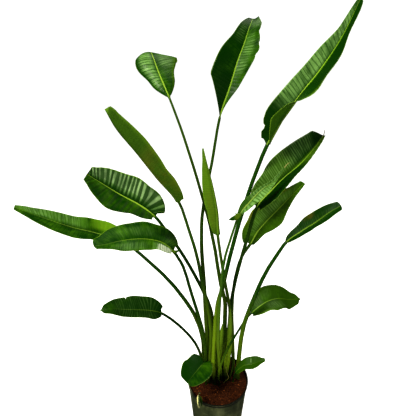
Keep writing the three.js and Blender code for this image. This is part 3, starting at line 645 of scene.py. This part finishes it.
def pot_piece():
    """The pot's wall and floor, with a stepped rim band and drain holes."""
    foot, rim, top = POT_FOOT_RADIUS, POT_RIM_RADIUS, POT_HEIGHT
    band = top - POT_BAND_HEIGHT
    profile = [(foot - 0.004, 0), (foot - 0.0015, 0.0006), (foot, 0.003)]
    profile += [(pot_radius(z), z) for z in np.linspace(0.012, band - 0.001, 14)]
    profile += [(rim - 0.0022, band + 0.0004), (rim - 0.0014, band + 0.0014), (rim - 0.0006, top - 0.004),
                (rim, top - 0.0022), (rim - 0.0003, top - 0.0008), (rim - 0.0012, top), (rim - 0.0034, top),
                (rim - 0.0044, top - 0.0008), (pot_radius(top) - POT_WALL, top - 0.003),
                (pot_radius(POT_WALL) - POT_WALL, POT_WALL)]
    pot = turned("nursery_pot", profile, POT_SIDES)
    for i in range(DRAIN_HOLES):
        angle = math.tau * (i + 0.5) / DRAIN_HOLES
        place = (DRAIN_RING_RADIUS * math.cos(angle), DRAIN_RING_RADIUS * math.sin(angle), 0)
        bpy.ops.mesh.primitive_cylinder_add(vertices=24, radius=DRAIN_HOLE_RADIUS, depth=0.01, location=place)
        cut_with(pot, bpy.context.object)
    bpy.ops.object.shade_smooth_by_angle(angle=math.radians(40))
    return pot


def soil_height(x, y):
    """Height of the soil's lumps at a place."""
    p = Vector((x, y, 0))
    return (0.0040 * noise.noise(p * 22 + Vector((3, 1, 0))) + 0.0030 * noise.noise(p * 70)
            + 0.0020 * abs(noise.noise(p * 190 + Vector((0, 5, 2)))))


def soil_piece():
    """The soil, lumpy on top and level at the pot's wall."""
    edge = pot_radius(SOIL_TOP) - POT_WALL - SOIL_CLEAR
    profile = [(edge - 0.003, SOIL_TOP - 0.03), (edge - 0.001, SOIL_TOP - 0.006)]
    profile += [(edge * r, SOIL_TOP) for r in np.linspace(1, 0.012, SOIL_RINGS)]
    soil = turned("potting_soil", profile, SOIL_SIDES)
    for v in soil.data.vertices:
        if v.co.z > SOIL_TOP - 0.003:
            inside = 1 - (math.hypot(v.co.x, v.co.y) / edge) ** 6
            v.co.z += inside * soil_height(v.co.x, v.co.y)
    bpy.ops.object.shade_smooth()
    return soil


def crumb_piece():
    """Crumbs of bark and peat lying on the soil."""
    rng = random.Random(11)
    bpy.ops.mesh.primitive_ico_sphere_add(subdivisions=1, radius=1)
    model = bpy.context.object
    crumbs = []
    for i in range(CRUMBS):
        crumb = model.copy()
        crumb.data = model.data.copy()
        bpy.context.collection.objects.link(crumb)
        distance, angle = CRUMBS_WITHIN * math.sqrt(rng.random()), rng.uniform(0, math.tau)
        x, y = distance * math.cos(angle), distance * math.sin(angle)
        size = rng.uniform(0.0009, 0.0030) * (1.5 if rng.random() < 0.08 else 1)
        turn = Matrix.Rotation(rng.uniform(0, 6.28), 4, "Z") @ Matrix.Rotation(rng.uniform(0, 3.14), 4, "X")
        grow = Matrix.Diagonal((size * rng.uniform(0.8, 2.2), size * rng.uniform(0.6, 1), size * 0.7, 1))
        place = Matrix.Translation((x, y, SOIL_TOP + soil_height(x, y) + 0.2 * size))
        crumb.data.transform(place @ turn @ grow)
        keep_at_points(crumb.data, "crumbtone", [rng.random()] * len(crumb.data.vertices))
        crumbs.append(crumb)
    bpy.data.objects.remove(model)
    select_only(*crumbs)
    bpy.ops.object.join()
    crumbs[0].name = "soil_crumbs"
    return crumbs[0]


# Materials
def srgb(red, green, blue):
    """A colour by its 0 to 255 values on screen."""
    shares = [c / 255 for c in (red, green, blue)]
    return [((c + 0.055) / 1.055) ** 2.4 if c > 0.04 else c / 12.92 for c in shares] + [1]


# Painted sheen, and a whitish painted glint, laid on the blades' pale zones in place of the glossy leaf's
# reflections.
PAINTED_SHEEN = srgb(124, 166, 92)
SHINE = srgb(206, 222, 190)
LIME = srgb(106, 146, 26)
SCORCHED = srgb(96, 84, 26)
SHEATH_YELLOW = srgb(108, 136, 22)
SHEATH_BROWN = srgb(64, 46, 12)
# The shade low in the clump: its colour, its heights, and where across the clump it is deepest.
FOOT_DARK = srgb(10, 24, 4)
FOOT_SHADE_FROM = 0.245
FOOT_SHADE_TO = 0.36
CLUMP_MIDDLE = 0.005


class Nodes:
    """Adds nodes to one tree, each from values or from other nodes' outputs."""

    def __init__(self, tree):
        self.tree = tree

    def add(self, kind, inputs=(), out=0, **settings):
        made = self.tree.nodes.new("ShaderNode" + kind)
        for key, value in settings.items():
            setattr(made, key, value)
        for key, value in dict(inputs).items():
            self.put(made.inputs[key], value)
        return made.outputs[out]

    def put(self, socket, value):
        if isinstance(value, bpy.types.NodeSocket):
            self.tree.links.new(value, socket)
        else:
            socket.default_value = value

    def math(self, operation, a, b=0.0, clamp=False):
        return self.add("Math", {0: a, 1: b}, operation=operation, use_clamp=clamp)

    def times(self, *values):
        return functools.reduce(lambda a, b: self.math("MULTIPLY", a, b), values)

    def plus(self, *values):
        return functools.reduce(lambda a, b: self.math("ADD", a, b), values)

    def minus(self, a, b):
        return self.math("SUBTRACT", a, b)

    def size(self, a):
        return self.math("ABSOLUTE", a)

    def step(self, value, low, high, a=0.0, b=1.0):
        """Smoothly from a at low to b at high."""
        ends = {"Value": value, "From Min": low, "From Max": high, "To Min": a, "To Max": b}
        return self.add("MapRange", ends, interpolation_type="SMOOTHSTEP")

    def blend(self, share, a, b):
        return self.add("Mix", {0: share, 6: a, 7: b}, out=2, data_type="RGBA")

    def noise(self, vector, scale, detail=3.0, rough=0.5):
        values = {"Vector": vector, "Scale": scale, "Detail": detail, "Roughness": rough}
        return self.add("TexNoise", values)

    def stretched(self, vector, *scale):
        return self.add("Mapping", {"Vector": vector, "Scale": scale})

    def kept_vector(self, name):
        return self.add("Attribute", out=1, attribute_name=name)

    def kept_value(self, name):
        return self.add("Attribute", out=2, attribute_name=name)

    def parts(self, vector):
        return self.add("SeparateXYZ", {0: vector}).node.outputs

    def joined(self, x, y):
        return self.add("CombineXYZ", {0: x, 1: y})

    def place(self):
        """Where a point is in the part's own frame, in metres."""
        return self.add("TexCoord", out=3)

    def bump(self, height, distance, strength):
        return self.add("Bump", {"Height": height, "Distance": distance, "Strength": strength})

    def ramp(self, value, *stops):
        """A colour ramp through stops, each a place and a colour's 0 to 255 values."""
        made = self.add("ValToRGB", {0: value})
        elements = made.node.color_ramp.elements
        while len(elements) < len(stops):
            elements.new(0.5)
        for element, (place, *colour) in zip(elements, stops):
            element.position = place
            element.color = srgb(*colour)
        return made

    def group(self, tree, **values):
        made = self.tree.nodes.new("ShaderNodeGroup")
        made.node_tree = tree
        for label, value in values.items():
            made.inputs[label].default_value = value
        return made.outputs


def add_socket(tree, label, way):
    return tree.interface.new_socket(label, in_out=way, socket_type="NodeSocketFloat")


def filled_group(n, **results):
    """A node group that gives its results by name."""
    for label in results:
        add_socket(n.tree, label, "OUTPUT")
    sockets = n.tree.nodes.new("NodeGroupOutput").inputs
    for label, result in results.items():
        n.put(sockets[label], result)
    return n.tree


def leaf_pattern_group():
    """Where the rib, the side veins, the stalk and the marked places of a leaf are."""
    n = Nodes(bpy.data.node_groups.new("leaf_pattern", "ShaderNodeTree"))
    where = n.kept_vector("leafmap")
    across, along, reach = n.parts(where)
    from_rib = n.size(across)
    lime, dim, ribs = n.parts(n.kept_vector("leafmarks"))
    phase, thin, brown = n.parts(n.kept_vector("leaflines"))
    stalk = n.math("LESS_THAN", along, 0)
    blade = n.minus(1, stalk)

    width = n.times(n.step(along, 0, 1, 3.2, 1.1), n.step(ribs, 0, 1, 0.4, 1))
    away = n.math("DIVIDE", n.times(from_rib, n.times(reach, REACH_UNIT)), width)
    shown = n.times(n.step(along, 0.1, 1, 1, 0.5), ribs, n.step(along, 0, 0.03, 0.4, 1))

    phase = n.plus(phase, n.times(n.noise(n.stretched(where, 0.35, 7, 0), 1, 2), 1.8))
    fine = n.size(n.math("SINE", n.times(phase, math.pi)))
    wave = n.plus(n.times(n.math("COSINE", n.times(phase, math.tau)), 0.5), 0.5)
    low = n.minus(n.times(thin, 0.8), 0.15)
    single = n.noise(n.joined(n.times(phase, 0.9), n.times(across, 1.1)), 1, 2)
    stripe = n.times(n.step(wave, low, n.plus(low, 0.5)), n.step(single, 0.36, 0.6, 0.35, 1))

    return filled_group(
        n, Lime=lime, Dim=dim, Brown=brown, Stalk=stalk,
        Rib=n.times(n.minus(1, n.step(away, 0.55, 1.05)), blade, shown),
        Vein=n.times(fine, blade),
        Stripe=n.times(stripe, blade),
        Band=n.noise(n.joined(n.times(phase, 0.22), n.times(across, 1.6)), 1, 3),
        Edge=n.times(n.step(from_rib, 0.955, 1), blade),
        Under=n.times(n.minus(1, n.kept_value("leafside")), blade),
        Down=n.math("MULTIPLY", along, -1, clamp=True),
        Stem=n.kept_value("leafstem"))


def stalk_streaks_group():
    """Fine streaks that run along a stalk, from 0 to 1."""
    n = Nodes(bpy.data.node_groups.new("stalk_streaks", "ShaderNodeTree"))
    add_socket(n.tree, "Fineness", "INPUT")
    fineness = n.tree.nodes.new("NodeGroupInput").outputs["Fineness"]
    return filled_group(n, Streak=n.noise(n.stretched(n.place(), 160, 160, 4), fineness, 3, 0.6))


LEAF_PATTERN = leaf_pattern_group()
STALK_STREAKS = stalk_streaks_group()


def new_material(name):
    material = bpy.data.materials.new(name)
    material.use_nodes = True
    return material, material.node_tree.nodes["Principled BSDF"].inputs, Nodes(material.node_tree)


def blade_colour(n, at, place, tone, pale, dark, light, rib, under):
    """A blade's green with its veins, painted sheen and glints, painted shade, marked places, edges and rib.
    """
    cloud = n.noise(place, 14, 4, 0.6)
    mottle = n.plus(n.times(cloud, 0.7), n.times(at["Vein"], 0.16), n.times(at["Stripe"], 0.1),
                    n.times(at["Band"], 0.5))
    blade = n.blend(n.step(n.plus(n.minus(mottle, 0.78), tone), -0.12, 0.6), dark, light)
    blade = n.blend(n.times(at["Under"], 0.65), blade, under)
    # Painted sheen: the pale zones turn pale green, streaked along the side veins, with a whitish painted
    # glint where they are strongest.
    streaked = n.times(pale, n.plus(n.times(at["Stripe"], 0.78), 0.12),
                       n.step(n.noise(place, 22, 2), 0.25, 0.6, 0.55, 1))
    blade = n.blend(streaked, blade, n.blend(n.step(pale, 0.9, 1.4), PAINTED_SHEEN, SHINE))
    blade = n.blend(at["Lime"], blade, n.blend(n.times(at["Vein"], 0.4), LIME, light))
    # Painted shade: the dim zones darken towards the clump's shadow green.
    blade = n.blend(n.times(at["Dim"], n.step(at["Band"], 0.35, 0.6, 1, 0.75)), blade, FOOT_DARK)
    blade = n.blend(n.times(at["Brown"], n.step(cloud, 0.3, 0.6)), blade, SCORCHED)
    blade = n.blend(n.times(at["Edge"], 0.4), blade, rib)
    return n.blend(n.times(at["Rib"], n.step(at["Under"], 0, 1, 0.9, 0.35)), blade, rib)


def stem_colour(n, at, place, streak, bright, dark, stalk, sheath):
    """A stalk's green, turning into the streaked sheath at its foot, with painted shade low inside the clump
    and in its dim zones.
    """
    low = n.step(n.plus(at["Down"], n.times(n.minus(streak, 0.5), 0.3)), 0.3, 0.66)
    foot = n.blend(bright, sheath, SHEATH_YELLOW)
    foot = n.blend(n.step(streak, 0.58, 0.7, 0, 0.7), foot, SHEATH_BROWN)
    upper = n.blend(n.step(n.plus(streak, at["Stem"]), 0.25, 0.75), dark, stalk)
    upper = n.blend(n.step(at["Stem"], 0.1, 0.6), upper, sheath)
    stem = n.blend(n.times(low, 0.9), upper, foot)
    # Painted shade: darker low down and near the clump's middle, and in the dim zones.
    x, _, z = n.parts(place)
    inner = n.step(n.size(n.minus(x, CLUMP_MIDDLE)), 0.03, 0.06, 0.97, 0.5)
    shade = n.times(n.step(z, FOOT_SHADE_FROM, FOOT_SHADE_TO, 1, 0), inner)
    return n.blend(at["Dim"], n.blend(shade, stem, FOOT_DARK), FOOT_DARK)


def leaf_material(name, rough, *colours):
    """A leaf's look, by its dark and light green, rib, underside, stalk and sheath."""
    dark, light, rib, under, stalk, sheath = (srgb(*colour) for colour in colours)
    material, given, n = new_material(name)
    at = n.group(LEAF_PATTERN)
    streak = n.group(STALK_STREAKS, Fineness=1)["Streak"]
    place = n.place()
    tone, bright, pale = n.parts(n.kept_vector("leaftint"))
    blade = blade_colour(n, at, place, tone, pale, dark, light, rib, under)
    stem = stem_colour(n, at, place, streak, bright, dark, stalk, sheath)
    n.put(given["Base Color"], n.blend(at["Stalk"], blade, stem))
    worn = n.step(n.noise(place, 60, 3), 0.3, 0.7, rough - 0.08, rough + 0.06)
    n.put(given["Roughness"], n.minus(worn, n.times(at["Stalk"], 0.06)))
    relief = n.plus(n.times(at["Vein"], 0.5), n.times(n.noise(place, 240, 2), 0.04),
                    n.times(streak, at["Stalk"], 0.8))
    n.put(given["Normal"], n.bump(relief, 0.0005, 0.8))
    n.put(given["Specular IOR Level"], 0.05)
    return material


def dry_material(name, light, dark):
    material, given, n = new_material(name)
    across, _, _ = n.parts(n.kept_vector("leafmap"))
    streak = n.group(STALK_STREAKS, Fineness=1.4)["Streak"]
    share = n.step(n.plus(across, n.times(streak, 0.5)), 0.35, 0.9)
    n.put(given["Base Color"], n.blend(share, light, dark))
    n.put(given["Roughness"], 0.6)
    n.put(given["Normal"], n.bump(streak, 0.0006, 0.8))
    return material


def soil_material(name, crumbs):
    material, given, n = new_material(name)
    grain = n.noise(n.place(), 160, 5, 0.7)
    colour = n.ramp(grain, (0.3, 16, 6, 1), (0.48, 50, 22, 6), (0.62, 70, 36, 13), (0.78, 118, 70, 32))
    if crumbs:
        tone = n.kept_value("crumbtone")
        chips = n.ramp(tone, (0, 16, 6, 1), (0.5, 54, 25, 8), (0.82, 92, 46, 18), (1, 150, 88, 42))
        colour = n.blend(0.65, colour, chips)
    n.put(given["Base Color"], colour)
    n.put(given["Roughness"], 0.92)
    n.put(given["Specular IOR Level"], 0.1)
    n.put(given["Normal"], n.bump(grain, 0.003, 0.9))
    return material


def pot_material():
    """Olive plastic with drips and scuffs, painted shade inside, black at the rim, and a painted reflection
    that makes the left side paler.
    """
    material, given, n = new_material("pot_plastic")
    place = n.place()
    x, _, height = n.parts(place)
    cloud = n.noise(place, 9, 4, 0.65)
    drips = n.noise(n.stretched(place, 26, 26, 2.5), 1, 4, 0.6)
    scuffs = n.noise(n.stretched(place, 30, 30, 260), 1, 3, 0.6)
    facing = n.add("NewGeometry", out=1)
    outward = n.add("VectorMath", {0: place, 1: facing}, out=1, operation="DOT_PRODUCT")
    stain = n.plus(n.times(cloud, 0.5), n.times(drips, 0.5))
    colour = n.ramp(stain, (0.34, 28, 36, 16), (0.5, 52, 60, 32), (0.64, 88, 94, 60))
    colour = n.blend(n.step(scuffs, 0.58, 0.74, 0, 0.5), colour, srgb(112, 122, 92))
    # Painted shade: the inner wall is nearly black.
    colour = n.blend(n.step(outward, 0.05, 0.09), srgb(8, 10, 8), colour)
    colour = n.blend(n.step(height, POT_HEIGHT - 0.004, POT_HEIGHT - 0.0015), colour, srgb(12, 16, 8))
    # Painted reflection: the wall's left side turns paler.
    colour = n.blend(n.step(x, -0.122, -0.1, 0.6, 0), colour, srgb(116, 126, 98))
    n.put(given["Base Color"], colour)
    n.put(given["Roughness"], n.step(drips, 0.3, 0.7, 0.42, 0.6))
    n.put(given["Specular IOR Level"], 0.25)
    n.put(given["Normal"], n.bump(n.noise(place, 900, 2), 0.0002, 0.5))
    return material


# Each look's name, roughness and colours: dark, light, rib, underside, stalk and sheath.
GREENS = {
    "mid": ("leaf_mid_green", 0.34, (12, 52, 0), (80, 130, 14), (150, 186, 60),
            (50, 88, 18), (32, 64, 14), (46, 74, 12)),
    "deep": ("leaf_deep_green", 0.34, (8, 42, 0), (62, 110, 10), (128, 164, 50),
             (40, 76, 14), (24, 52, 12), (38, 66, 10)),
    "young": ("leaf_young_green", 0.4, (42, 76, 8), (76, 114, 20), (120, 152, 44),
              (64, 100, 18), (44, 76, 16), (54, 80, 14)),
    "pale": ("leaf_pale_green", 0.4, (44, 80, 18), (88, 124, 38), (150, 176, 80),
             (70, 104, 36), (52, 84, 22), (60, 84, 16)),
    "shoot": ("shoot_olive_green", 0.42, (60, 84, 20), (110, 130, 36), (150, 150, 60),
              (90, 110, 34), (74, 104, 26), (92, 122, 26)),
}
LOOKS = {key: leaf_material(*green) for key, green in GREENS.items()}
LOOKS["dry"] = dry_material("dry_scrap", srgb(232, 226, 150), srgb(40, 66, 20))
LOOKS["straw"] = dry_material("dry_thread", srgb(120, 118, 50), srgb(150, 140, 80))
SLOTS = {"mid": "blade_mid", "deep": "blade_deep", "young": "blade_young", "pale": "blade_pale",
         "shoot": "shoot", "dry": "dry_scrap", "straw": "dry_scrap"}
SOIL_LOOK = soil_material("damp_soil", False)
CRUMB_LOOK = soil_material("soil_crumb", True)
POT_LOOK = pot_material()


# The plant, dressed
def wear(piece, material, slot):
    piece.data.materials.clear()
    piece.data.materials.append(material)
    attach(piece, "root")


def dress(piece, material, slot, *nodes):
    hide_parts(*nodes)
    wear(piece, material, slot)


def look_and_slot(part):
    colour = part.get("colour", "mid")
    return LOOKS[colour], SLOTS[colour]


def keep_tint(piece, part):
    """Keeps a leaf's tone, its sheath's and stem's lightness, its veins and rib, and its marked zones."""
    mesh = piece.data
    where = np.empty(len(mesh.vertices) * 3, np.float32)
    mesh.attributes["leafmap"].data.foreach_get("vector", where)
    across, along, _ = where.reshape(-1, 3).T

    def zones(kind):
        mask = np.zeros(len(across))
        for inner, outer, a, b, strength in part.get(kind, []):
            body = np.clip(np.minimum(along - a, b - along) / min(0.12, 0.4 * (b - a)), 0, 1)
            soft = min(0.2, 0.4 * (outer - inner))
            spread = np.clip((across - inner) / soft, 0, 1) * np.clip((outer - across) / soft, 0, 1)
            mask = np.maximum(mask, strength * body * spread)
        return mask

    def keep(name, *columns):
        filled = [np.broadcast_to(column, len(across)) for column in columns]
        keep_at_points(mesh, name, np.stack(filled, axis=1))

    tones = part.get("tone", [0])
    tone = tones[0] + (tones[-1] - tones[0]) * np.clip(across / 0.1 + 0.5, 0, 1)
    count, thin = part.get("lines", (40, 0.5))
    # The pale zones hold painted sheen and glints, the dim zones painted shade.
    keep("leaftint", tone, part.get("sheath", 0.15), zones("pale"))
    keep("leaflines", count * along, thin, zones("brown"))
    keep("leafmarks", zones("lime"), zones("dim"), part.get("ribbed", 0.7))
    keep("leafstem", part.get("stem", 0.0))


for parts, made_as in ((LEAVES, leaf_piece), (SPEARS, spear_piece)):
    for part in parts:
        grown = made_as(part)
        keep_tint(grown, part)
        dress(grown, *look_and_slot(part), part["name"])

for scrap in SCRAPS:
    grown = scrap_piece(scrap)
    keep_tint(grown, {"sheath": SCRAP_SHEATH})
    wear(grown, *look_and_slot(scrap))

dress(pot_piece(), POT_LOOK, "pot", "pot")
dress(soil_piece(), SOIL_LOOK, "soil", "soil")
wear(crumb_piece(), CRUMB_LOOK, "soil")


# Floor, light and camera
def floor_material():
    """A pale floor that the camera sees nearly white, with a faint shadow."""
    material, _, n = new_material("studio_floor")
    n.tree.nodes.clear()
    plain = n.add("BsdfDiffuse", {"Color": (0.8, 0.8, 0.8, 1)})
    glow = n.add("Emission", {"Color": (1, 1, 1, 1), "Strength": 0.72})
    seen = n.add("LightPath", out=0)
    lit = n.add("AddShader", {0: plain, 1: glow})
    mixed = n.add("MixShader", {0: seen, 1: plain, 2: lit})
    n.put(n.tree.nodes.new("ShaderNodeOutputMaterial").inputs[0], mixed)
    return material


bpy.ops.mesh.primitive_circle_add(vertices=96, radius=40, fill_type="NGON")
floor = bpy.context.object
floor.name = "studio_floor"
floor.data.materials.append(floor_material())
floor.visible_glossy = False


def place_in_scene(name, data, place):
    placed = bpy.data.objects.new(name, data)
    bpy.context.scene.collection.objects.link(placed)
    placed.location = place
    return placed


def softbox(name, place, aim, size, power):
    """A round lamp at a place, turned to what it lights."""
    data = bpy.data.lights.new(name, "AREA")
    data.shape = "DISK"
    data.size = size
    data.energy = power
    data.color = SUNNY
    lamp = place_in_scene(name, data, place)
    lamp.rotation_euler = (Vector(place) - Vector(aim)).to_track_quat("Z", "Y").to_euler()


softbox("key_light", place=(-2.1, -1.6, 3.3), aim=(0, 0, 0.9), size=1.2, power=178)
softbox("fill_light", place=(2.4, -1.6, 1.8), aim=(0, 0, 0.8), size=1.6, power=30)
softbox("top_light", place=(0.2, 1.0, 3.9), aim=(0, 0, 0.9), size=2.2, power=60)

world = bpy.data.worlds.new("studio")
bpy.context.scene.world = world
world.use_nodes = True
w = Nodes(world.node_tree)
mirrored = w.add("LightPath", out=3)
surround = w.add("Mix", {0: mirrored, 2: SURROUND_LIGHT, 3: SURROUND_MIRRORED})
seen = w.add("LightPath", out=0)
surround = w.add("Mix", {0: seen, 2: surround, 3: SURROUND_SEEN})
background = world.node_tree.nodes["Background"]
background.inputs["Color"].default_value = (1, 1, 1, 1)
w.put(background.inputs["Strength"], surround)

camera = bpy.data.cameras.new("camera")
camera.lens = CAMERA_LENS
camera.sensor_width = CAMERA_SENSOR
seen_from = place_in_scene("camera", camera, CAMERA_PLACE)
seen_from.rotation_euler = (math.radians(CAMERA_TILT), 0, 0)
bpy.context.scene.camera = seen_from
bpy.context.scene.view_settings.view_transform = "Standard"
bpy.context.scene.view_settings.look = "Medium High Contrast"
